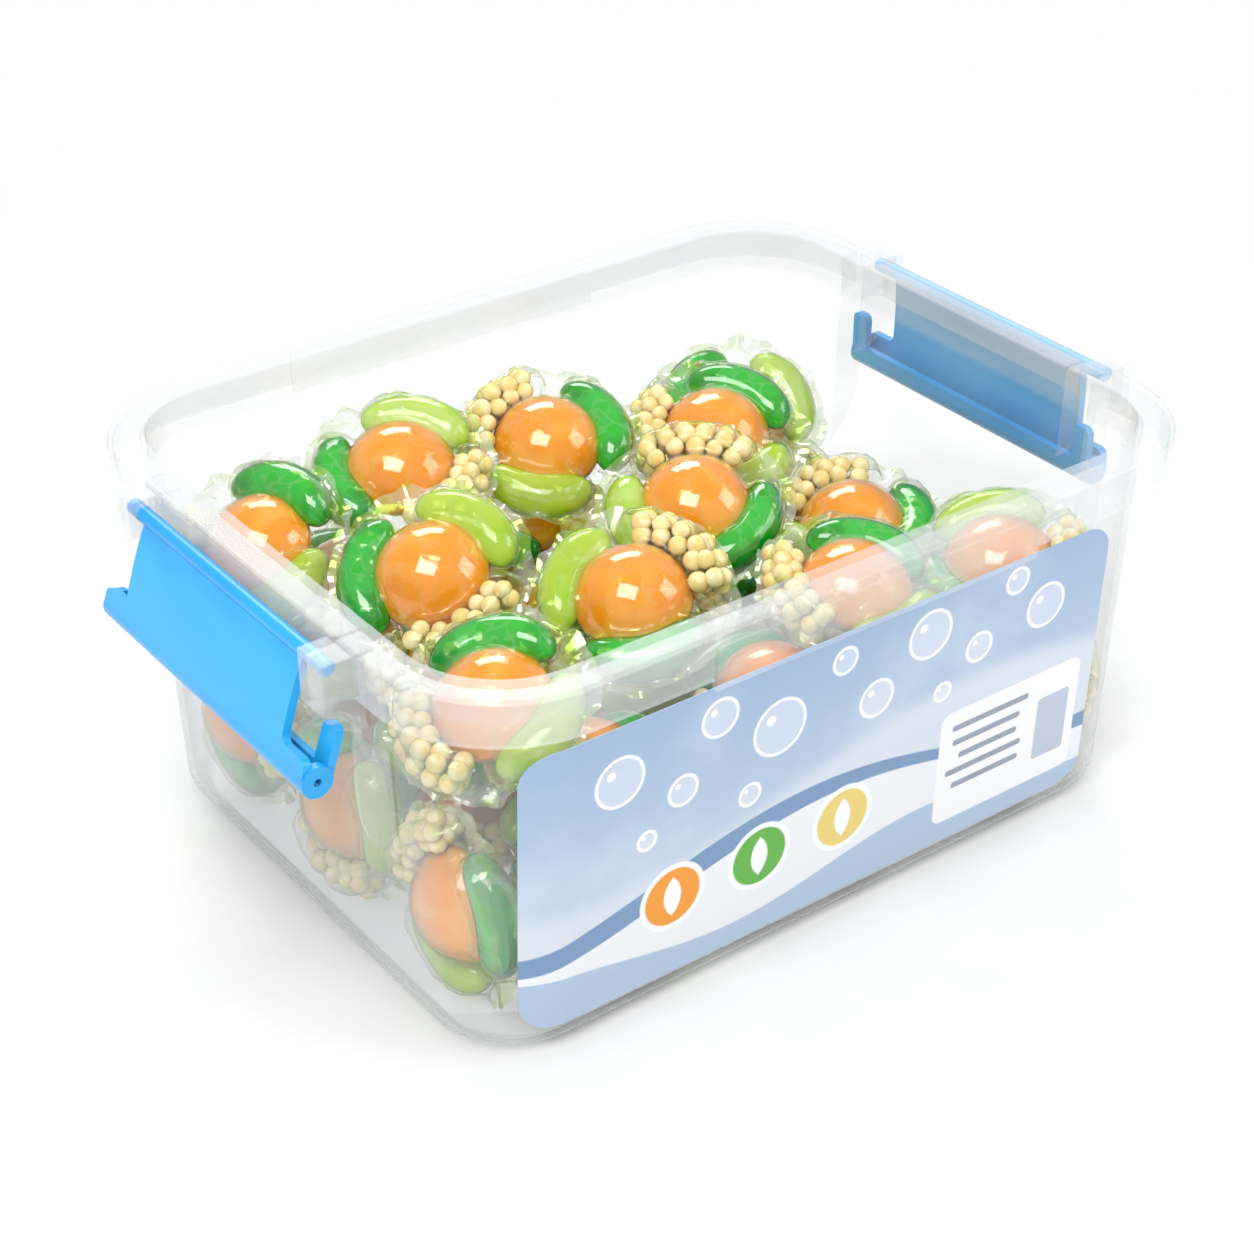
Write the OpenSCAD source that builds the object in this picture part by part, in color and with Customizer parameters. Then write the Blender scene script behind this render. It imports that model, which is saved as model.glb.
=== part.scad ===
/* [Tub] */
// Length over the rim, along X
rim_length = 230; // [210:1:260]
// Width over the rim, along Y
rim_width = 181; // [165:1:210]
// Height from the resting face to the top of the rim
tub_height = 105; // [95:1:125]
// Radius of the rim's outer corners in plan
rim_corner_r = 34; // [30:0.5:40]
// Thickness of the walls
wall_t = 1.5; // [1.2:0.1:2]
// Thickness of the floor
floor_t = 1.8; // [1.4:0.1:2.4]
// How far each wall leans in from the rim to the base
draft = 3.2; // [2:0.1:4.5]
// Radius of the outer edge where the walls meet the floor
base_edge_r = 6; // [4:0.5:8]

/* [Rim] */
// Width of the rim's flat top, from the mouth to its outer edge
flange_w = 9.3; // [8:0.1:11]
// Thickness of the rim's flat top
flange_t = 1.6; // [1.2:0.1:2]
// Depth of the turned-down skirt, from the top of the rim
skirt_depth = 11.3; // [9:0.1:12]
// Thickness of the skirt
skirt_t = 1.4; // [1:0.1:1.8]
// Radius of the rim's outer top edge
rim_edge_r = 1.4; // [1:0.1:1.6]
// Length of the deeper grip tab on each long side
tab_length = 97; // [60:1:110]
// How much deeper than the skirt each grip tab reaches
tab_drop = 2.6; // [1:0.1:5]
// How far each grip tab stands proud of the skirt
tab_proud = 0.5; // [0.3:0.1:1]

/* [Latch brackets] */
// Width of each clear pin housing, along Y
housing_w = 10.1; // [10:0.1:13]
// Depth of each housing, from the top of the rim
housing_depth = 16; // [13:0.5:18]
// Depth of each housing's inner cheek beside the panel, from the top of the rim
cheek_depth = 27; // [22:0.5:27]
// Thickness of the housing walls and of the guard fins
housing_t = 1.4; // [1:0.1:1.8]
// How far each guard fin stands out past the rim's outer edge
fin_out = 0.3; // [0:0.1:0.5]
// Height where the guard fin begins to curve in, above the resting face
fin_turn_z = 66; // [62:1:72]
// Radius of the guard fin's curved edge
fin_r = 27; // [25:1:34]

/* [Latches] */
// Width of the panel of each latch, along Y
latch_w = 77; // [72:1:80]
// How far the panel's side edges are cut in between the pins and the lip
latch_waist = 2; // [1.5:0.1:4]
// Length of the panel from its pins to the start of the curl
latch_drop = 26.5; // [25:0.5:29]
// Thickness of the panel
latch_t = 2.2; // [1.8:0.1:2.6]
// Radius to which the panel is bowed outward
latch_bow_r = 120; // [90:5:200]
// Outer radius of the curled lip
curl_r = 4; // [3.6:0.1:4.4]
// Height of each inner ear above the centre of the curl
ear_h = 13; // [10:0.5:13]
// Height of each outer boss above the centre of the curl
boss_h = 5; // [4:0.5:7]
// Radius of the hinge pins
pin_r = 2; // [1.8:0.1:2.2]
// Running clearance round each hinge pin
pin_play = 0.06; // [0.02:0.01:0.1]
// Distance from the rim's outer edge to the hinge axis
pin_out = 3.2; // [3:0.1:3.6]
// Depth of the hinge axis below the top of the rim
pin_down = 5; // [4.9:0.1:6]
// Gap beside the panel, the ears and the lip, and round the barrel inside its housing
side_play = 0.7; // [0.5:0.1:1]
// Length of each hinge pin past the panel
pin_length = 6; // [4:0.5:8]
// Outward lean of the latch at -X, in degrees
hang_tilt_left = 19; // [10:1:24]
// Outward lean of the latch at +X, in degrees
hang_tilt_right = 0; // [0:1:10]

/* [Label] */
// Height of the label's lower edge above the resting face
label_z = 7; // [6.5:0.5:12]
// Height of the label
label_h = 78; // [60:1:84]
// Angle by which the label runs on round the -X corner, in degrees
label_wrap_left = 32; // [10:1:40]
// Angle by which the label runs on round the +X corner, in degrees
label_wrap_right = 6; // [2:1:20]
// Radius of the label's corners
label_r = 8; // [4:0.5:12]
// Thickness of the label
label_t = 0.25; // [0.2:0.05:0.4]

/* [Capsules] */
// Diameter of the film rim of one capsule
film_d = 49; // [46:0.5:49.5]
// Thickness of the sealed film rim
film_t = 0.5; // [0.4:0.1:0.8]
// Radius of the centre chamber
dome_r = 15; // [13.5:0.25:16]
// Height of the centre chamber above the film rim
dome_h = 12; // [10:0.25:12.5]
// Depth of the centre chamber below the film rim
belly_h = 8; // [6:0.25:8.5]
// Radius of the gel in each crescent chamber
lobe_r = 6; // [5:0.1:6.4]
// Radius of the ring on which the crescent chambers lie
lobe_ring = 17.6; // [16.5:0.1:18]
// Radius of one scent bead
bead_r = 2.4; // [2:0.1:2.6]
// Direction of the middle of the packed beads, in degrees round the capsule
bead_middle = 212; // [205:1:218]
// Room left between neighbouring capsules
capsule_gap = 1; // [0.4:0.1:1.5]
// Number of layers in which the lower capsules lie
layer_n = 3; // [2:1:3]

/* [Hidden] */
$fn = 64;
slip = 0.02;
corner_x = rim_length / 2 - rim_corner_r;
corner_y = rim_width / 2 - rim_corner_r;
mouth_u = rim_corner_r - flange_w;
wall_top_u = mouth_u + wall_t;
wall_base_u = wall_top_u - draft;
pin_x = rim_length / 2 + pin_out;
pin_z = tub_height - pin_down;
housing_in_y = latch_w / 2 + side_play;
housing_out_y = housing_in_y + housing_w;
housing_x = pin_x + pin_r + side_play + housing_t;
ear_in_y = housing_in_y + housing_t + side_play;
lip_y = housing_out_y - housing_t - side_play;
ear_out_y = lip_y - latch_t / 4;

// Distance from the corner axes to the inside of the walls, at a height
function inner_u(z) = wall_base_u - wall_t + draft * (z - base_edge_r) / (tub_height - base_edge_r);

// Places are written as x, y, z, turn, lean and spin; a lean of 0 lies with the dome up
stand_x = corner_x + inner_u(film_d / 2) - dome_h - capsule_gap;
stand_z = floor_t + film_d / 2 + capsule_gap / 2;
layer_step = dome_h + belly_h + capsule_gap;
layer_span = [2 * (stand_x - belly_h) - 3 * capsule_gap, 2 * (corner_y + inner_u(base_edge_r)) - capsule_gap];
layer_count = [for (span = layer_span) floor(span / film_d)];
layer_pitch = [for (k = [0, 1]) (layer_span[k] - film_d) / (layer_count[k] - 1)];
pile_z = floor_t + layer_n * layer_step;

// Capsules that lie in the bottom layers, in columns and rows; the top layer stops short
lying = [
    for (k = [0 : layer_n - 1])
        for (i = [0 : layer_count[0] - (k < layer_n - 1 ? 1 : 2)])
            for (j = [0 : layer_count[1] - 1])
                [
                    (i - (layer_count[0] - 1) / 2) * layer_pitch[0],
                    (j - (layer_count[1] - 1) / 2) * layer_pitch[1],
                    floor_t + belly_h + capsule_gap / 2 + k * layer_step,
                    0,
                    0,
                    (i * 97 + j * 53 + k * 131) % 360
                ]
];

// Capsules on edge against the end walls: side, row, turn and spin
edge_places = [
    [-1, -1, 180, 20], [-1, 0, 180, 140], [-1, 1, 180, 260],
    [1, -1, 0, 70], [1, 0, 0, 200], [1, 1, 0, 320]
];
standing = [
    for (p = edge_places)
        [p[0] * stand_x, p[1] * (film_d + capsule_gap), stand_z, p[2], 89, p[3]]
];

// Capsules heaped on top: column, row, lift above the layers, turn, lean and spin
heap_places = [
    [1.16, -0.15, -9, 230, 12, 0], [0.85, 0.57, 8, 235, 25, 60], [0.04, 0.86, 13, 240, 25, 20],
    [-1.05, 0.15, 12, 220, 35, 190], [-0.46, -0.57, 12, 225, 28, 290], [-1.32, -0.77, 6, 200, 30, 120],
    [1.35, 1.05, -6, 235, 40, 150], [-0.7, 1, 15.5, 235, 22, 200], [-1.46, 1, 7, 200, 40, 90],
    [0.3, 0, 10, 230, 25, 330], [0.5, -0.95, 5, 270, 15, 40], [1.37, -0.97, -4, 200, 20, 250]
];
heaped = [
    for (p = heap_places)
        [p[0] * layer_pitch[0], p[1] * layer_pitch[1], pile_z + p[2], p[3], p[4], p[5]]
];

capsules = concat(lying, standing, heaped);
function two_digits(i) = str(i < 9 ? "0" : "", i + 1);
capsule_names = [for (i = [0 : len(capsules) - 1]) str("capsule_", two_digits(i))];

// Sweeps a section, drawn outward from the corner axes, along one long side
module long_run(from, length) {
    translate([from, corner_y, 0]) rotate([90, 0, 90]) linear_extrude(length) children();
}

// Sweeps the same section along the short side at +X
module short_run() {
    translate([corner_x, corner_y, 0]) rotate([90, 0, 0]) linear_extrude(2 * corner_y) children();
}

// Sweeps the same section once round the rounded rectangle of the tub
module all_round() {
    for (turn = [0, 180]) rotate(turn) {
        long_run(-corner_x, 2 * corner_x) children();
        short_run() children();
        translate([corner_x, corner_y, 0]) rotate_extrude(angle = 90) children();
        translate([-corner_x, corner_y, 0]) rotate(90) rotate_extrude(angle = 90) children();
    }
}

// A filled wall outline with a round lower edge, from the corner axis outward
module filled_section(base_u, top_u, low, high, edge_r) {
    polygon([[0, low], [base_u - edge_r, low], [base_u - edge_r, low + edge_r],
        [base_u, low + edge_r], [top_u, high], [0, high]]);
    intersection() {
        translate([base_u - edge_r, low + edge_r]) circle(edge_r);
        translate([base_u - edge_r, low]) square([edge_r, edge_r]);
    }
}

// Wall, floor strip and turned-down rim of the tub as one section
module tub_section() {
    difference() {
        filled_section(wall_base_u, wall_top_u, 0, tub_height, base_edge_r);
        filled_section(wall_base_u - wall_t, mouth_u, floor_t, tub_height + 1, base_edge_r - wall_t);
    }
    difference() {
        union() {
            translate([mouth_u + wall_t / 2, tub_height - skirt_depth])
                square([flange_w - wall_t / 2, skirt_depth - rim_edge_r]);
            translate([mouth_u + wall_t / 2, tub_height - rim_edge_r])
                square([flange_w - wall_t / 2 - rim_edge_r, rim_edge_r]);
            translate([rim_corner_r - rim_edge_r, tub_height - rim_edge_r]) circle(rim_edge_r);
        }
        translate([0, tub_height - skirt_depth - 1])
            square([rim_corner_r - skirt_t, skirt_depth + 1 - flange_t]);
    }
}

// The deeper middle of the skirt, a finger grip on each long side
module grip_tab() {
    long_run(-tab_length / 2, tab_length)
        translate([rim_corner_r - skirt_t, tub_height - skirt_depth - tab_drop])
            square([skirt_t + tab_proud, skirt_depth + tab_drop - 2 * rim_edge_r]);
}

// Trims a plate so that it ends inside the thickness of the drafted end wall
module outside_end_wall() {
    mid = wall_t / 2;
    polygon([
        [corner_x + wall_base_u - mid, 0],
        [corner_x + wall_top_u - mid, tub_height],
        [housing_x + 1, tub_height],
        [housing_x + 1, 0]
    ]);
}

// Side view of the guard fin: straight under the housing, then curved in to the wall
module fin_outline() {
    fin_x = rim_length / 2 + fin_out;
    intersection() {
        outside_end_wall();
        union() {
            translate([corner_x, fin_turn_z])
                square([fin_x - corner_x, tub_height - housing_depth + 3 - fin_turn_z]);
            translate([fin_x - fin_r, fin_turn_z]) circle(fin_r);
        }
        square([housing_x + 1, tub_height - housing_depth + 3]);
    }
}

// Side view of a housing's outer cheek, with a round lower outer corner
module cheek_outline() {
    top = tub_height - flange_t / 2;
    low = tub_height - housing_depth;
    r = pin_r;
    intersection() {
        outside_end_wall();
        union() {
            translate([corner_x, low + r]) square([housing_x - corner_x, top - low - r]);
            translate([corner_x, low]) square([housing_x - r - corner_x, r + slip]);
            translate([housing_x - r, low + r]) circle(r);
        }
    }
}

// Side view of the inner cheek: it runs on down the wall, and its foot is cut to a slant
module long_cheek_outline() {
    low = tub_height - cheek_depth;
    cheek_outline();
    intersection() {
        outside_end_wall();
        polygon([
            [corner_x, low],
            [pin_x - 2 * curl_r, low],
            [pin_x + curl_r / 2, low + 1.5 * curl_r],
            [pin_x + curl_r / 2, tub_height - housing_depth + pin_r],
            [corner_x, tub_height - housing_depth + pin_r]
        ]);
    }
}

// Side view of the roof and outer face of a pin housing
module hood_outline() {
    top = tub_height - flange_t / 2;
    translate([rim_length / 2 - skirt_t, top - housing_t])
        square([housing_x - rim_length / 2 + skirt_t, housing_t]);
    translate([housing_x - housing_t, tub_height - housing_depth + pin_r])
        square([housing_t, housing_depth - pin_r - flange_t / 2]);
}

// Extrudes a side view along Y between two distances from the middle
module slab(from_y, to_y) {
    translate([0, to_y, 0]) rotate([90, 0, 0]) linear_extrude(to_y - from_y) children();
}

// One clear housing for a hinge pin, with its guard fin, at the +X +Y corner
module pin_housing() {
    difference() {
        union() {
            slab(housing_in_y, housing_in_y + housing_t) long_cheek_outline();
            slab(housing_in_y, housing_out_y) hood_outline();
            slab(housing_out_y - housing_t, housing_out_y) cheek_outline();
            slab(housing_out_y - housing_t, housing_out_y) fin_outline();
        }
        translate([pin_x, housing_in_y - 1, pin_z]) rotate([-90, 0, 0])
            cylinder(r = pin_r + pin_play, h = housing_t + 2);
    }
}

module tub() {
    color("whitesmoke", 0.5) {
        difference() {
            union() {
                all_round() tub_section();
                translate([-corner_x, -corner_y, 0]) cube([2 * corner_x, 2 * corner_y, floor_t]);
            }
            for (turn = [0, 180]) rotate(turn)
                for (side = [0, 1]) mirror([0, side, 0])
                    translate([
                        rim_length / 2 - skirt_t - slip,
                        housing_in_y + housing_t,
                        tub_height - skirt_depth - 1
                    ])
                        cube([
                            skirt_t + 1,
                            housing_w - 2 * housing_t,
                            skirt_depth + 1 - flange_t
                        ]);
        }
        for (turn = [0, 180]) rotate(turn) {
            grip_tab();
            for (side = [0, 1]) mirror([0, side, 0]) pin_housing();
        }
    }
}

// Section of the label: a thin strip that follows the drafted wall
module label_section() {
    polygon([
        [wall_base_u + slip, base_edge_r],
        [wall_base_u + slip + label_t, base_edge_r],
        [wall_top_u + slip + label_t, tub_height],
        [wall_top_u + slip, tub_height]
    ]);
}

// Front outline of the label, a rectangle with round corners
module label_outline() {
    left = -corner_x - wall_base_u * sin(label_wrap_left);
    right = corner_x + wall_base_u * sin(label_wrap_right);
    for (x = [left + label_r, right - label_r])
        for (z = [label_z + label_r, label_z + label_h - label_r])
            translate([x, z]) circle(label_r);
    translate([left + label_r, label_z]) square([right - left - 2 * label_r, label_h]);
    translate([left, label_z + label_r]) square([right - left, label_h - 2 * label_r]);
}

module label() {
    color("lightsteelblue")
        intersection() {
            rotate(180) {
                long_run(-corner_x, 2 * corner_x) label_section();
                translate([corner_x, corner_y, 0]) rotate(45) rotate_extrude(angle = 45)
                    label_section();
                translate([-corner_x, corner_y, 0]) rotate(90) rotate_extrude(angle = 25)
                    label_section();
            }
            translate([0, -corner_y, 0]) rotate([90, 0, 0]) linear_extrude(rim_corner_r)
                label_outline();
        }
}

// Side view of the bowed panel, hanging down from the pins at the origin
module panel_outline() {
    half = latch_drop / 2;
    centre_x = -sqrt(latch_bow_r * latch_bow_r - half * half);
    intersection() {
        translate([centre_x, -half]) difference() {
            circle(latch_bow_r + latch_t / 2, $fn = 360);
            circle(latch_bow_r - latch_t / 2, $fn = 360);
        }
        translate([-latch_t, -latch_drop]) square([4 * latch_t, latch_drop]);
    }
}

// Side view of the curled lip below the panel
module curl_outline(leg) {
    translate([latch_t / 2 - curl_r, -latch_drop]) {
        difference() {
            circle(curl_r);
            circle(curl_r - latch_t);
            translate([-curl_r - 1, 0]) square([2 * curl_r + 2, curl_r + 1]);
        }
        translate([-curl_r, 0]) square([latch_t, leg]);
    }
}

// Front outline of an ear or boss: a strip with a round top, in Y and Z
module ear_outline(from_y, h) {
    w = ear_out_y - from_y;
    r = w / 3;
    for (y = [from_y + r, ear_out_y - r]) translate([y, h - latch_drop - r]) circle(r);
    translate([from_y + r, h - latch_drop - 2 * r]) square([w - 2 * r, 2 * r]);
    translate([from_y, -latch_drop]) square([w, h - r]);
}

// One end of the lip: the ear on the wall side and the closed end of the roll
module lip_end() {
    translate([latch_t / 2 - 2 * curl_r, 0, 0]) rotate([90, 0, 90]) linear_extrude(latch_t)
        ear_outline(ear_in_y, ear_h);
    difference() {
        slab(lip_y - latch_t, lip_y)
            translate([latch_t / 2 - curl_r, -latch_drop]) circle(curl_r);
        translate([latch_t / 2 - curl_r, 0, -latch_drop]) rotate([-90, 0, 0])
            cylinder(r = curl_r / 4, h = rim_width);
    }
}

// What is cut from the panel's side, in Y and Z: all above the boss, with a round inner corner
module side_cut() {
    edge_y = latch_w / 2 - latch_waist;
    low = boss_h - latch_drop;
    r = latch_waist;
    translate([edge_y, low + r]) square([lip_y - edge_y, latch_drop - boss_h - r + 1]);
    translate([edge_y + r, low]) square([lip_y - edge_y - r, latch_drop - boss_h + 1]);
    translate([edge_y + r, low + r]) circle(r);
}

// What is cut from the boss's outer top corner to make it round
module corner_cut() {
    r = boss_h / 2;
    difference() {
        translate([ear_out_y - r, boss_h - latch_drop - r]) square([2 * r, 2 * r]);
        translate([ear_out_y - r, boss_h - latch_drop - r]) circle(r);
    }
}

// The bowed panel with a boss at each end of its lower edge
module panel() {
    difference() {
        slab(-ear_out_y, ear_out_y) panel_outline();
        for (side = [0, 1]) mirror([0, side, 0]) translate([-5 * latch_t, 0, 0])
            rotate([90, 0, 90]) linear_extrude(10 * latch_t) {
                side_cut();
                corner_cut();
            }
    }
}

// A latch as moulded, hanging from pins on the Y axis
module latch_body() {
    panel();
    slab(-ear_out_y, ear_out_y) curl_outline(3);
    slab(latch_waist - latch_w / 2, latch_w / 2 - latch_waist) circle(pin_r - slip);
    for (side = [0, 1]) mirror([0, side, 0]) {
        lip_end();
        translate([0, latch_w / 2 - 2 * latch_waist, 0]) rotate([-90, 0, 0])
            cylinder(r = pin_r, h = 2 * latch_waist + pin_length);
    }
}

// A latch in place at the +X end, leaning outward by an angle
module latch(lean) {
    color("deepskyblue")
        translate([pin_x, 0, pin_z]) rotate([0, -lean, 0]) latch_body();
}

// A crescent of gel: part of a ring with round ends
module crescent(middle, half_span, r) {
    rotate(middle - half_span) rotate_extrude(angle = 2 * half_span)
        translate([lobe_ring, 0]) circle(r);
    for (turn = [-half_span, half_span]) rotate(middle + turn)
        translate([lobe_ring, 0, 0]) sphere(r + 0.15);
}

// The packed mass of beads under the film, a low crescent that runs under the dome
module bead_bed(inner, outer, half_span, h) {
    rotate(bead_middle - half_span) rotate_extrude(angle = 2 * half_span)
        polygon([[inner, -h / 2], [outer - film_t, -h / 2], [outer, 0], [outer - film_t, h / 2], [inner, h / 2]]);
}

// A row of scent beads, side by side along part of a ring
module bead_row(ring, count, z) {
    step = 2 * asin(1.03 * bead_r / ring);
    for (i = [0 : count - 1]) rotate(bead_middle + (i - (count - 1) / 2) * step)
        translate([ring, 0, z]) sphere(bead_r);
}

// A low cap of a sphere, of the centre chamber's radius and a given height
module cap(h) {
    r = (dome_r * dome_r + h * h) / (2 * h);
    intersection() {
        translate([0, 0, h - r]) sphere(r);
        cylinder(r = dome_r + 1, h = h + 1);
    }
}

// A capsule: centre chamber, two gel crescents, packed beads and sealed film rim
module capsule() {
    cap(dome_h);
    mirror([0, 0, 1]) cap(belly_h);
    translate([0, 0, 1]) {
        crescent(90, 32, lobe_r);
        crescent(325, 28, lobe_r - 0.4);
    }
    bed_h = 2.6 * bead_r;
    bead_bed(dome_r - 3, dome_r + 3.6 * bead_r, 48, bed_h);
    bead_row(dome_r + 1.1 * bead_r, 6, bed_h / 2 - 0.2);
    bead_row(dome_r + 2.4 * bead_r, 7, bed_h / 2 + 0.3);
    translate([0, 0, -film_t / 2]) cylinder(d = film_d, h = film_t);
}

module placed_capsule(place) {
    color("orange")
        translate([place[0], place[1], place[2]])
            rotate([0, 0, place[3]]) rotate([0, place[4], 0]) rotate([0, 0, place[5]])
                capsule();
}

tub();
label();
rotate(180) latch(hang_tilt_left);  // latch_left
latch(hang_tilt_right);  // latch_right
for (i = [0 : len(capsules) - 1])
    placed_capsule(capsules[i]);
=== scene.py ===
import math
import random

import bpy
from mathutils import Matrix, Vector

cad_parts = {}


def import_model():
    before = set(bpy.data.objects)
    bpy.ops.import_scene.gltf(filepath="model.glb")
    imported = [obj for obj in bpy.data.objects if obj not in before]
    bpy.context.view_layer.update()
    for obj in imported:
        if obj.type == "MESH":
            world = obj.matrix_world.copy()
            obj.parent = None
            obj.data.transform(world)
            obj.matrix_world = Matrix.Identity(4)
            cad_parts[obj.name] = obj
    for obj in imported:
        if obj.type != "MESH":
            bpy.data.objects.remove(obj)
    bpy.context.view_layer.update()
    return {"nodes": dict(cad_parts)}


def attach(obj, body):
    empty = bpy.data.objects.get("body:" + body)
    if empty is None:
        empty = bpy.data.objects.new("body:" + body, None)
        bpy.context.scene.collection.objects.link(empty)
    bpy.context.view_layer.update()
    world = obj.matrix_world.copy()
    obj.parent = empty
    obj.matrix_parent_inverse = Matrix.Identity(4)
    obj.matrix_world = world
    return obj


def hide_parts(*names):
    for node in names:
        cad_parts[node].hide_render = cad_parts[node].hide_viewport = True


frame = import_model()
MM = 0.001


class Mat:
    """A material with one Principled shader and short calls for the nodes that feed it."""

    def __init__(self, name, **values):
        self.m = bpy.data.materials.new(name)
        self.m.use_nodes = True
        self.t = self.m.node_tree
        self.t.nodes.clear()
        self.out = self.t.nodes.new("ShaderNodeOutputMaterial")
        self.p = self.t.nodes.new("ShaderNodeBsdfPrincipled")
        self.t.links.new(self.p.outputs[0], self.out.inputs[0])
        for k, v in values.items():
            self.p.inputs[k.replace("_", " ")].default_value = v

    def node(self, kind, **values):
        n = self.t.nodes.new("ShaderNode" + kind)
        for k, v in values.items():
            if hasattr(n, k):
                setattr(n, k, v)
            else:
                n.inputs[k.replace("_", " ")].default_value = v
        return n

    def put(self, value, socket):
        if isinstance(value, bpy.types.NodeSocket):
            self.t.links.new(value, socket)
        else:
            socket.default_value = value

    def set(self, **sockets):
        for k, v in sockets.items():
            self.put(v, self.p.inputs[k.replace("_", " ")])

    def math(self, op, a, b=0.0, c=None, clamp=False):
        n = self.node("Math", operation=op, use_clamp=clamp)
        self.put(a, n.inputs[0])
        self.put(b, n.inputs[1])
        if c is not None:
            self.put(c, n.inputs[2])
        return n.outputs[0]

    def length(self, a, b):
        return self.math("SQRT", self.math("ADD", self.math("MULTIPLY", a, a), self.math("MULTIPLY", b, b)))

    def mix(self, f, a, b):
        n = self.node("Mix", data_type="RGBA")
        for value, socket in ((f, n.inputs[0]), (a, n.inputs[6]), (b, n.inputs[7])):
            if isinstance(value, tuple) and len(value) == 3:
                value = value + (1.0,)
            self.put(value, socket)
        return n.outputs[2]

    def span(self, v, a, b, lo=0.0, hi=1.0):
        """Runs smoothly from lo to hi while the value goes from a to b."""
        n = self.node("MapRange", interpolation_type="SMOOTHSTEP")
        self.put(v, n.inputs[0])
        for i, x in enumerate((a, b, lo, hi)):
            n.inputs[i + 1].default_value = x
        return n.outputs[0]

    def coords(self):
        s = self.node("SeparateXYZ")
        self.t.links.new(self.node("TexCoord").outputs["Object"], s.inputs[0])
        return s.outputs

    def facing(self, blend):
        return self.node("LayerWeight", Blend=blend).outputs["Facing"]

    def noise(self, scale, detail=2.0, rough=0.5, stretch=None):
        n = self.node("TexNoise", Scale=scale, Detail=detail, Roughness=rough)
        vec = self.node("TexCoord").outputs["Object"]
        if stretch:
            mp = self.node("Mapping")
            mp.inputs["Scale"].default_value = stretch[0]
            mp.inputs["Rotation"].default_value = stretch[1]
            self.t.links.new(vec, mp.inputs[0])
            vec = mp.outputs[0]
        self.t.links.new(vec, n.inputs["Vector"])
        return n.outputs[0]

    def end_in(self, factor, first, second):
        """Ends the material in a mix of two shaders."""
        mx = self.node("MixShader")
        for i, value in enumerate((factor, first, second)):
            self.t.links.new(value, mx.inputs[i])
        self.t.links.new(mx.outputs[0], self.out.inputs[0])

    def thin(self, tint):
        """Lets lamp light through the surface without working out its texture."""
        clear = self.node("BsdfTransparent", Color=tint + (1.0,))
        self.end_in(self.node("LightPath").outputs["Is Shadow Ray"], self.p.outputs[0], clear.outputs[0])


def rgb(r, g, b):
    """A colour as the eye reads it from 0 to 255, in linear values."""
    return tuple(((c / 255 + 0.055) / 1.055) ** 2.4 if c > 10 else c / 255 / 12.92 for c in (r, g, b))


def clear_shell():
    """Clear plastic: cloudier where it is seen slantwise, at the rim and at the foot."""
    rim_from, rim_full = 0.0925, 0.0945
    foot_from, foot_full = 0.009, 0.002
    m = Mat("clear_shell", Roughness=0.14, IOR=1.49, Specular_IOR_Level=0.8)
    z = m.coords()[2]
    haze = m.noise(30.0, 1.0)
    edge = m.span(m.facing(0.4), 0.3, 0.95, 0.0, 0.42)
    rim = m.span(z, rim_from, rim_full, 0.0, 0.10)
    foot = m.span(z, foot_from, foot_full, 0.0, 0.10)
    alpha = m.math("ADD", m.math("ADD", edge, m.span(haze, 0.3, 0.7, 0.075, 0.115)), m.math("ADD", rim, foot))
    m.set(Base_Color=m.mix(haze, rgb(226, 231, 233), rgb(243, 246, 247)), Alpha=alpha)
    m.thin((0.93, 0.935, 0.94))
    return m.m


def blue_latch():
    """Moulded blue plastic with faint flow lines."""
    m = Mat("blue_latch", Roughness=0.32, IOR=1.49, Coat_Weight=0.15, Coat_Roughness=0.2)
    flow = m.noise(26.0, 3.0, 0.55, ((1.0, 0.35, 1.6), (0.5, 0.0, 0.3)))
    m.set(Base_Color=m.mix(m.span(flow, 0.35, 0.65), rgb(24, 160, 236), rgb(46, 180, 246)))
    return m.m


def gel(name, edge, body, lit, alpha_body=1.0):
    """A soft clear gel with painted light and shade: painted deeper where it is seen slantwise, painted brighter in
    patches low down where the light gathers.
    """
    lit_from, lit_full = 0.008, -0.002
    m = Mat(name, Roughness=0.08, IOR=1.4, Specular_IOR_Level=0.7, Coat_Weight=1.0, Coat_Roughness=0.02)
    z = m.coords()[2]
    face = m.facing(0.42)
    # Painted light: noise patches, low down, where the lit colour is painted in.
    light_patches = m.span(m.noise(80.0, 1.0), 0.46, 0.64)
    gather = m.math("MULTIPLY", light_patches, m.span(z, lit_from, lit_full, 0.45, 1.0))
    # Painted shade towards the edge colour where the gel turns away, over the painted light of the lit colour.
    m.set(Base_Color=m.mix(m.span(face, 0.2, 0.95), m.mix(gather, body, lit), edge))
    if alpha_body < 1.0:
        m.set(Alpha=m.span(face, 0.1, 0.8, alpha_body, 1.0))
        m.thin(tuple(0.25 + 0.6 * v for v in lit))
    return m.m


def bead_wax():
    """Pale waxy beads, each a little lighter or darker, with painted shade, deeper gold, where they turn away."""
    m = Mat("bead_wax", Roughness=0.4, IOR=1.45)
    tone = m.mix(m.span(m.noise(380.0, 0.0), 0.35, 0.65), rgb(246, 218, 138), rgb(253, 238, 182))
    # Painted shade: the colour runs to a deeper gold where the bead turns away from view.
    m.set(Base_Color=m.mix(m.span(m.facing(0.4), 0.3, 1.0), tone, rgb(232, 190, 104)))
    return m.m


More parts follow.
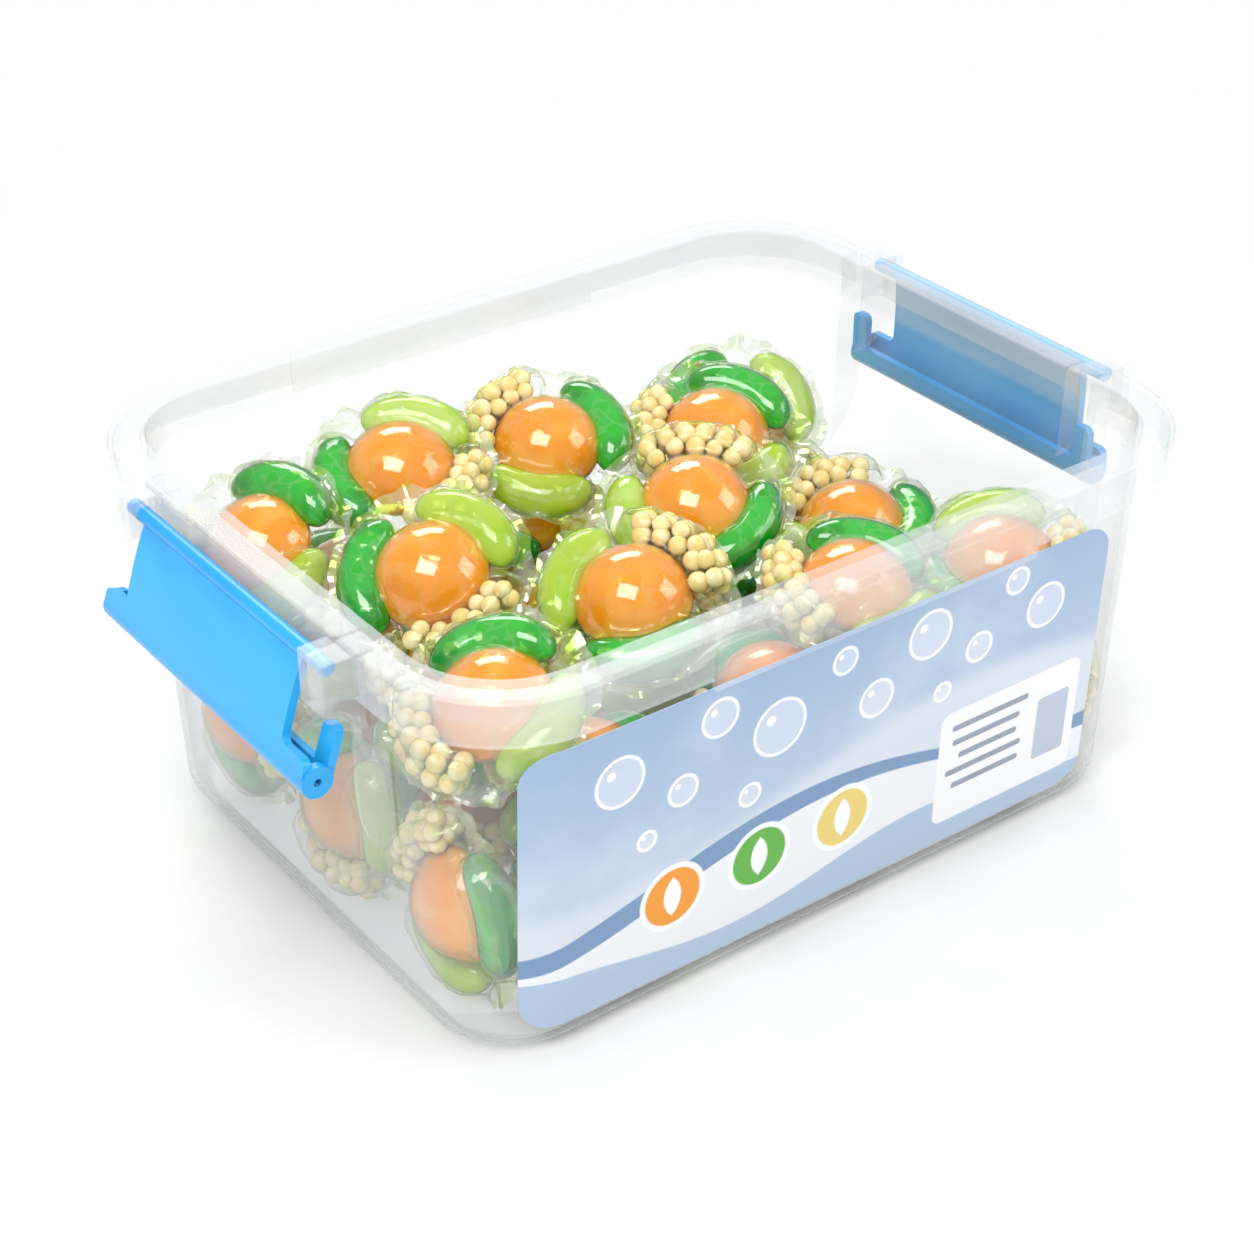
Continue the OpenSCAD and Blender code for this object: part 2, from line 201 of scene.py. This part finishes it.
def capsule_film():
    """Clear film: nearly all it shows is glance light, from its creases and its crimped margin."""
    margin_from, margin_full = 0.0195, 0.0235
    m = Mat("capsule_film", Roughness=0.1, Metallic=0.6)
    x, y, _ = m.coords()
    crinkle = m.noise(150.0, 1.0)
    margin = m.span(m.length(x, y), margin_from, margin_full, 0.0, 0.17)
    crease = m.span(m.math("ABSOLUTE", m.math("SUBTRACT", crinkle, 0.5)), 0.025, 0.0, 0.0, 0.12)
    glance = m.span(m.facing(0.4), 0.25, 1.0, 0.04, 0.55)
    m.set(Base_Color=m.mix(m.span(crinkle, 0.4, 0.6), rgb(196, 232, 104), rgb(250, 254, 236)),
          Alpha=m.math("ADD", m.math("ADD", margin, crease), glance, clamp=True))
    m.thin((0.97, 0.98, 0.94))
    return m.m


def label_print():
    """The printed label: sky, swooshes, bubbles, three leaf badges and a panel with bars."""
    m = Mat("label_print", Roughness=0.34, IOR=1.46)
    x, _, z = m.coords()

    def dist(cx, cz):
        return m.length(m.math("SUBTRACT", x, cx), m.math("SUBTRACT", z, cz))

    def wave(base, high, length, shift):
        s = m.math("SINE", m.math("MULTIPLY_ADD", x, 2 * math.pi / length, shift))
        return m.math("SUBTRACT", z, m.math("MULTIPLY_ADD", s, high, base))

    def past(v, centre, half):
        return m.math("MAXIMUM", m.math("SUBTRACT", m.math("ABSOLUTE", m.math("SUBTRACT", v, centre)), half), 0.0)

    def plate(cx, cz, hx, hz, r):
        return m.math("SUBTRACT", m.length(past(x, cx, hx - r), past(z, cz, hz - r)), r)

    def inside(d, soft=0.0003):
        return m.span(d, soft, -soft)

    # Sky and swooshes
    c = m.mix(m.span(z, 0.02, 0.085), rgb(196, 210, 226), rgb(160, 184, 214))
    c = m.mix(m.math("MULTIPLY", m.span(m.noise(28.0, 4.0), 0.45, 0.75), 0.35), c, rgb(232, 238, 244))
    c = m.mix(inside(wave(0.047, 0.009, 0.23, 0.4), 0.004), c, rgb(214, 223, 233))
    c = m.mix(inside(wave(0.036, 0.008, 0.19, 1.9)), c, rgb(122, 152, 190))
    c = m.mix(inside(wave(0.031, 0.008, 0.19, 1.7)), c, rgb(236, 240, 244))
    c = m.mix(inside(wave(0.017, 0.004, 0.12, 0.2)), c, rgb(176, 196, 219))

    # Bubbles: centre and radius in mm, each with a bright ring and a glint
    bubbles = [(-68, 70, 7), (-50, 60, 4.5), (-40, 76, 5.5), (-22, 66, 8), (-3, 77, 4),
               (8, 62, 5.5), (24, 74, 7), (41, 64, 4.5), (52, 79, 4), (63, 68, 6.5),
               (-60, 50, 3), (-30, 50, 3.5), (30, 55, 3)]
    for bx, bz, br in bubbles:
        d = m.math("SUBTRACT", dist(bx * MM, bz * MM), br * MM)
        c = m.mix(m.math("MULTIPLY", inside(d), 0.45), c, rgb(236, 243, 250))
        ring = m.math("SUBTRACT", m.math("ABSOLUTE", m.math("ADD", d, 0.0005)), 0.0004)
        c = m.mix(inside(ring, 0.0002), c, rgb(252, 253, 254))
        glint = m.math("SUBTRACT", dist((bx - br * 0.35) * MM, (bz + br * 0.35) * MM), br * 0.17 * MM)
        c = m.mix(inside(glint, 0.0002), c, rgb(255, 255, 255))

    # Round badges with a leaf, which is where two discs meet
    badge_z, badge_r, badge_edge = 0.030, 0.0095, 0.0015
    leaf_off, leaf_r = 0.005, 0.0075
    for px, tint in ((-52, rgb(243, 156, 42)), (-26, rgb(96, 178, 66)), (0, rgb(236, 210, 120))):
        d = m.math("SUBTRACT", dist(px * MM, badge_z), badge_r)
        c = m.mix(inside(d), c, rgb(250, 251, 252))
        c = m.mix(inside(m.math("ADD", d, badge_edge)), c, tint)
        leaf = m.math("MAXIMUM", m.math("SUBTRACT", dist(px * MM - leaf_off, badge_z), leaf_r),
                      m.math("SUBTRACT", dist(px * MM + leaf_off, badge_z), leaf_r))
        c = m.mix(inside(leaf), c, rgb(250, 251, 252))

    # Pale panel with bars and a stamp
    c = m.mix(inside(plate(0.055, 0.030, 0.024, 0.017, 0.003)), c, rgb(247, 248, 249))
    for k in range(5):
        bar = plate(0.048 - 0.001 * (k % 2), 0.0415 - 0.0045 * k, 0.013 - 0.0015 * (k % 3), 0.0009, 0.0008)
        c = m.mix(inside(bar, 0.0002), c, rgb(150, 160, 174))
    stamp = plate(0.0705, 0.029, 0.0055, 0.0095, 0.001)
    c = m.mix(inside(stamp, 0.0002), c, rgb(188, 200, 214))
    m.set(Base_Color=c)
    return m.m


CLEAR = clear_shell()
BLUE = blue_latch()
PRINT = label_print()
FILM = capsule_film()
# Each gel: a painted-shade edge colour, its own body colour, then a painted-light lit colour.
ORANGE = gel("gel_orange", rgb(236, 126, 8), rgb(251, 150, 20), rgb(255, 184, 66))
GREEN = gel("gel_green", rgb(0, 92, 20), rgb(0, 142, 28), rgb(36, 210, 52))
LIME = gel("gel_lime", rgb(126, 186, 0), rgb(178, 222, 24), rgb(216, 243, 92), 0.6)
WAX = bead_wax()

for node, mat in (("tub", CLEAR), ("label", PRINT), ("latch_left", BLUE), ("latch_right", BLUE)):
    o = frame["nodes"][node]
    o.data.materials.clear()
    o.data.materials.append(mat)


# A capsule in its own frame, in mm and degrees: the seal lies at z = 0, the dome is up.
# The chambers round the dome are arcs of a ring: their middle, half their length and their thickness.
FILM_R, DOME_R, DOME_H, BELLY_H = 24.5, 15.0, 12.0, 8.0
RING, LOBE_Z = 17.6, 1.0
GREEN_AT, GREEN_HALF, GREEN_TUBE = 90.0, 34.0, 6.3
LIME_AT, LIME_HALF, LIME_TUBE = 325.0, 31.0, 6.2
BEAD_AT, BEAD_HALF, BEAD_RING, BEAD_TUBE, BEAD_R = 212.0, 36.0, 19.2, 6.4, 2.65
BEAD_TOP, BEAD_LOW = 1.9, 1.0
GEL_INSET = 0.3
SKIN = 0.3

# Rows of beads: radius of the row, how many beads, height
BEAD_ROWS = ((16.4, 5, 4.6), (19.6, 6, 5.9), (22.0, 6, 3.0), (17.6, 5, 0.9), (21.6, 6, -0.6), (19.2, 5, -2.9))

# The film past the seal: its free edge, its ruffles and pleats, and where it comes down to the seal
FREE_EDGE, EDGE_SWELL = 1.3, 0.75
RUFFLE_FROM, RUFFLE_RUN, RUFFLE_H = 19.5, 5.5, 1.25
PLEATS, PLEAT_H, CREASE_H = 30, 0.25, 0.16
SEAL_IN, SEAL_RUN, SEAL_GAP = 0.6, 2.4, 0.05

# How finely each form is drawn, round it and along it. Only the capsules in plain view have their film drawn.
FINE = {"film": (112, 24), "dome": (48, 14), "bean": (24, 28), "bead": (16, 10)}
PLAIN = {"dome": (28, 9), "bean": (14, 16), "bead": (8, 6)}


class Shape:
    """Faces gathered for one mesh, each with the number of its material."""

    def __init__(self):
        self.verts, self.faces, self.mats = [], [], []

    def grid(self, rows, mat):
        """Joins closed rows of points into a skin."""
        base = len(self.verts)
        n = len(rows[0])
        for row in rows:
            self.verts.extend(row)
        for i in range(len(rows) - 1):
            here, there = base + i * n, base + (i + 1) * n
            for j in range(n):
                k = (j + 1) % n
                self.faces.append((here + j, here + k, there + k, there + j))
                self.mats.append(mat)


IN_FILM, IN_ORANGE, IN_GREEN, IN_LIME, IN_WAX = range(5)


def turn_to(a, b):
    """Signed angle from b to a, in degrees."""
    return (a - b + 180.0) % 360.0 - 180.0


def arc_gap(r, angle, at, half, ring):
    """Distance in plan from a point to an arc of the ring."""
    off = turn_to(angle, at)
    held = max(-half, min(half, off))
    a, b = math.radians(off), math.radians(held)
    return math.hypot(r * math.cos(a) - ring * math.cos(b), r * math.sin(a) - ring * math.sin(b))


def cap_height(r, h):
    """Height of a round cap of the dome's radius, at a distance from its middle."""
    rs = (DOME_R * DOME_R + h * h) / (2 * h)
    return h - rs + math.sqrt(max(rs * rs - r * r, 0.0)) if r < DOME_R else 0.0


def skin_height(r, angle, side):
    """Height of the film above or below the seal, drawn tight over what it holds."""
    tops = [cap_height(r, DOME_H if side > 0 else BELLY_H)]
    for at, half, ring, tube, mid in ((GREEN_AT, GREEN_HALF, RING, GREEN_TUBE, LOBE_Z),
                                      (LIME_AT, LIME_HALF, RING, LIME_TUBE, LOBE_Z),
                                      (BEAD_AT, BEAD_HALF, BEAD_RING, BEAD_TUBE, BEAD_TOP if side > 0 else BEAD_LOW)):
        d = arc_gap(r, angle, at, half, ring) / tube
        if d < 1.0:
            tops.append(tube * math.sqrt(1.0 - d * d) + side * mid)
    total = sum(max(t, 0.0) ** 3 for t in tops) ** (1 / 3)
    return side * (total + SKIN)


def add_film(shape, rnd, around, rings):
    """The film drawn over the chambers, then a crimped and ruffled margin past the seal."""
    waves = [(rnd.uniform(0.25, 0.55), n, rnd.uniform(0, 6.3)) for n in (5, 9, 14, 21)]
    frill = [(rnd.uniform(0.5, 0.9), n, rnd.uniform(0, 6.3)) for n in (7, 12, 19)]
    kink = rnd.uniform(0, 6.3)
    for side in (1, -1):
        rows = []
        for i in range(rings + 1):
            row = []
            t = (i / rings) ** 0.75
            for j in range(around):
                ang = 360.0 * j / around
                a = math.radians(ang)
                swell = sum(w * math.sin(n * a + s) for w, n, s in waves)
                edge = FILM_R + FREE_EDGE - EDGE_SWELL * swell
                r = max(edge * t, 0.02)
                px, py = r * math.cos(a), r * math.sin(a)
                out = max(0.0, (r - RUFFLE_FROM) / RUFFLE_RUN)
                ruffle = RUFFLE_H * out * sum(w * math.sin(n * a + s) for w, n, s in frill)
                pleat = PLEAT_H * min(1.0, out * 2) * math.sin(PLEATS * a + 3 * swell)
                pleat += (CREASE_H * math.sin(0.9 * px + 0.5 * py + kink)
                          * math.sin(0.7 * py - 0.8 * px + 2 * kink))
                seal = min(1.0, max(0.0, (FILM_R - SEAL_IN - r) / SEAL_RUN))
                h = skin_height(r, ang, side) * (seal * seal * (3 - 2 * seal)) + side * SEAL_GAP
                row.append((px, py, h + ruffle + pleat))
            rows.append(row if side > 0 else row[::-1])
        shape.grid(rows, IN_FILM)


def add_dome(shape, around, rings):
    """The round middle chamber."""
    rows = []
    for i in range(2 * rings + 1):
        t = i / rings - 1.0
        r0 = max((DOME_R - 0.4) * math.sin(math.pi / 2 * (1 - abs(t))), 0.01)
        z = -cap_height(r0, BELLY_H) if t < 0 else cap_height(r0, DOME_H)
        rows.append([(r0 * math.cos(2 * math.pi * j / around), r0 * math.sin(2 * math.pi * j / around), z)
                     for j in range(around)])
    shape.grid(rows, IN_ORANGE)


def add_bean(shape, rnd, at, half, tube, mat, around, rings):
    """A crescent of gel with round ends."""
    full = half + math.degrees(tube / RING)
    rows = []
    bend = rnd.uniform(-0.04, 0.04)
    for i in range(rings + 1):
        u = math.sin((-1.0 + 2.0 * i / rings) * math.pi / 2)
        a = math.radians(at + full * u)
        fat = tube * max(1.0 - abs(u) ** 3.2, 0.0004) ** 0.5 * (1.0 + bend * math.sin(3 * u))
        row = []
        for j in range(around):
            b = 2 * math.pi * j / around
            out = RING + fat * math.cos(b)
            row.append((out * math.cos(a), out * math.sin(a), LOBE_Z + 0.96 * fat * math.sin(b)))
        rows.append(row)
    shape.grid(rows, mat)


def add_ball(shape, centre, r, around, rings, mat):
    cx, cy, cz = centre
    rows = []
    for i in range(rings + 1):
        a = math.pi * i / rings - math.pi / 2
        s, z = max(math.cos(a), 0.001), math.sin(a)
        rows.append([(cx + r * s * math.cos(2 * math.pi * j / around),
                      cy + r * s * math.sin(2 * math.pi * j / around), cz + r * z)
                     for j in range(around)])
    shape.grid(rows, mat)


def add_beads(shape, rnd, around, rings):
    """Rows of beads packed side by side, a little uneven, lower at the ends of a row."""
    for ring, count, z in BEAD_ROWS:
        step = math.degrees(2 * math.asin(BEAD_R / ring))
        middle = (count - 1) / 2
        for i in range(count):
            a = math.radians(BEAD_AT + (i - middle) * step + rnd.uniform(-1.8, 1.8))
            q = ring + rnd.uniform(-0.5, 0.5)
            end = abs(i - middle) / middle
            height = z * (1 - 0.25 * end) + rnd.uniform(-0.5, 0.5)
            size = BEAD_R * rnd.uniform(0.88, 1.03)
            add_ball(shape, (q * math.cos(a), q * math.sin(a), height), size, around, rings, IN_WAX)


def capsule_mesh(name, seed, detail):
    rnd = random.Random(seed)
    shape = Shape()
    if "film" in detail:
        add_film(shape, rnd, *detail["film"])
    add_dome(shape, *detail["dome"])
    add_bean(shape, rnd, GREEN_AT, GREEN_HALF, GREEN_TUBE - GEL_INSET, IN_GREEN, *detail["bean"])
    add_bean(shape, rnd, LIME_AT, LIME_HALF, LIME_TUBE - GEL_INSET, IN_LIME, *detail["bean"])
    add_beads(shape, rnd, *detail["bead"])
    me = bpy.data.meshes.new(name)
    me.from_pydata([(x * MM, y * MM, z * MM) for x, y, z in shape.verts], [], shape.faces)
    for m in (FILM, ORANGE, GREEN, LIME, WAX):
        me.materials.append(m)
    me.polygons.foreach_set("material_index", shape.mats)
    me.polygons.foreach_set("use_smooth", [True] * len(shape.faces))
    me.validate()
    me.update()
    return me


# The tub inside, in mm: centres of its corners, their radius at the foot, its floor and the draft of its walls
CORNER_X, CORNER_Y, WALL_U, FLOOR_T = 81, 56.5, 21.5, 1.8
DRAFT_OUT, DRAFT_RISE = 3.2, 99

# Where the capsules lie: those on edge at the end walls, the pitch and the layers of the rest
STAND_X = CORNER_X + WALL_U + DRAFT_OUT * 18.5 / DRAFT_RISE - 13
STAND_Z = FLOOR_T + FILM_R + 0.5
PITCH_X = (2 * (STAND_X - BELLY_H) - 3 - 2 * FILM_R) / 2
PITCH_Y = (2 * (CORNER_Y + WALL_U) - 1 - 2 * FILM_R) / 2
FIRST_Z, LAYER_H = 10.3, 21
PILE_Z = FLOOR_T + 3 * LAYER_H

# Places of the capsules as in the part: x, y, z in mm, then turn, lean and spin in degrees
places = []
for k in range(3):
    for i in range(3 if k < 2 else 2):
        for j in range(3):
            places.append(((i - 1) * PITCH_X, (j - 1) * PITCH_Y, FIRST_Z + LAYER_H * k,
                           0, 0, (i * 97 + j * 53 + k * 131) % 360))
hidden_below = len(places)
for side, row, turn, spin in ((-1, -1, 180, 20), (-1, 0, 180, 140), (-1, 1, 180, 260),
                              (1, -1, 0, 70), (1, 0, 0, 200), (1, 1, 0, 320)):
    places.append((side * STAND_X, row * 50, STAND_Z, turn, 89, spin))
for col, row, lift, turn, lean, spin in (
        (1.16, -0.15, -9, 230, 12, 0), (0.85, 0.57, 8, 235, 25, 60), (0.04, 0.86, 13, 240, 25, 20),
        (-1.05, 0.15, 12, 220, 35, 190), (-0.46, -0.57, 12, 225, 28, 290), (-1.32, -0.77, 6, 200, 30, 120),
        (1.35, 1.05, -6, 235, 40, 150), (-0.7, 1, 15.5, 235, 22, 200), (-1.46, 1, 7, 200, 40, 90),
        (0.3, 0, 10, 230, 25, 330), (0.5, -0.95, 5, 270, 15, 40), (1.37, -0.97, -4, 200, 20, 250)):
    places.append((col * PITCH_X, row * PITCH_Y, PILE_Z + lift, turn, lean, spin))

fine = [capsule_mesh(f"capsule_fine_{s}", 11 + s, FINE) for s in range(4)]
plain = [capsule_mesh(f"capsule_plain_{s}", 31 + s, PLAIN) for s in range(3)]
for n, (x, y, z, turn, lean, spin) in enumerate(places):
    kinds = plain if n < hidden_below else fine
    o = bpy.data.objects.new(f"capsule_look_{n + 1:02d}", kinds[n % len(kinds)])
    bpy.context.scene.collection.objects.link(o)
    o.matrix_world = (Matrix.Translation((x * MM, y * MM, z * MM))
                      @ Matrix.Rotation(math.radians(turn), 4, "Z")
                      @ Matrix.Rotation(math.radians(lean), 4, "Y")
                      @ Matrix.Rotation(math.radians(spin), 4, "Z"))
    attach(o, "tub")
    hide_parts(f"capsule_{n + 1:02d}")


def floor():
    """A wide pale sheet that keeps the shadow near the part and runs out to plain white."""
    half = 6.0
    white_from, white_full = 0.20, 0.48
    me = bpy.data.meshes.new("floor")
    me.from_pydata([(-half, -half, 0), (half, -half, 0), (half, half, 0), (-half, half, 0)], [], [(0, 1, 2, 3)])
    o = bpy.data.objects.new("floor", me)
    bpy.context.scene.collection.objects.link(o)
    m = Mat("floor_paper", Roughness=0.6)
    x, y, _ = m.coords()
    m.set(Base_Color=m.mix(m.span(m.noise(40.0), 0.3, 0.7), rgb(243, 243, 243), rgb(246, 246, 246)))
    white = m.node("Emission", Strength=1.0)
    path = m.node("LightPath")
    seen = m.math("MAXIMUM", path.outputs["Is Camera Ray"],
                  m.math("MAXIMUM", path.outputs["Is Glossy Ray"], path.outputs["Is Transmission Ray"]))
    far = m.math("MULTIPLY", m.span(m.length(x, y), white_from, white_full), seen)
    m.end_in(far, m.p.outputs[0], white.outputs[0])
    me.materials.append(m.m)


def world():
    """White where the camera looks past the floor, soft light everywhere else."""
    w = bpy.data.worlds.new("studio")
    bpy.context.scene.world = w
    w.use_nodes = True
    t = w.node_tree
    t.nodes.clear()
    out = t.nodes.new("ShaderNodeOutputWorld")
    seen = t.nodes.new("ShaderNodeBackground")
    seen.inputs[0].default_value = (1, 1, 1, 1)
    seen.inputs[1].default_value = 1.0
    soft = t.nodes.new("ShaderNodeBackground")
    soft.inputs[0].default_value = (0.97, 0.985, 1.0, 1)
    soft.inputs[1].default_value = 0.62
    path = t.nodes.new("ShaderNodeLightPath")
    mx = t.nodes.new("ShaderNodeMixShader")
    t.links.new(path.outputs["Is Camera Ray"], mx.inputs[0])
    t.links.new(soft.outputs[0], mx.inputs[1])
    t.links.new(seen.outputs[0], mx.inputs[2])
    t.links.new(mx.outputs[0], out.inputs[0])


def lamp(name, at, to, size, power):
    d = bpy.data.lights.new(name, "AREA")
    d.shape = "RECTANGLE"
    d.size, d.size_y = size
    d.energy = power
    o = bpy.data.objects.new(name, d)
    bpy.context.scene.collection.objects.link(o)
    o.location = at
    o.rotation_euler = (Vector(to) - Vector(at)).to_track_quat("-Z", "Y").to_euler()


def camera():
    """The photograph's viewpoint, fitted to the outlines of the tub."""
    down, left = 31.96, 36.72
    d = bpy.data.cameras.new("camera")
    d.sensor_width = 36.0
    d.lens = 72.04
    o = bpy.data.objects.new("camera", d)
    bpy.context.scene.collection.objects.link(o)
    o.location = (-0.3362, -0.4439, 0.3915)
    o.rotation_euler = (math.radians(90 - down), 0, math.radians(-left))
    bpy.context.scene.camera = o


floor()
world()
camera()
MIDDLE = (0, 0, 0.05)
lamp("key", (-0.55, -0.35, 1.0), MIDDLE, (0.7, 0.5), 8.0)
lamp("fill", (0.8, -0.7, 0.7), MIDDLE, (0.6, 0.6), 3.5)
lamp("back", (0.4, 0.9, 0.9), MIDDLE, (0.7, 0.4), 5.2)

# Few light bounces, but enough layers to see through walls and film
sc = bpy.context.scene
sc.view_settings.view_transform = "Standard"
sc.cycles.transparent_max_bounces = 12
sc.cycles.max_bounces = 3
sc.cycles.diffuse_bounces = 1
sc.cycles.glossy_bounces = 1
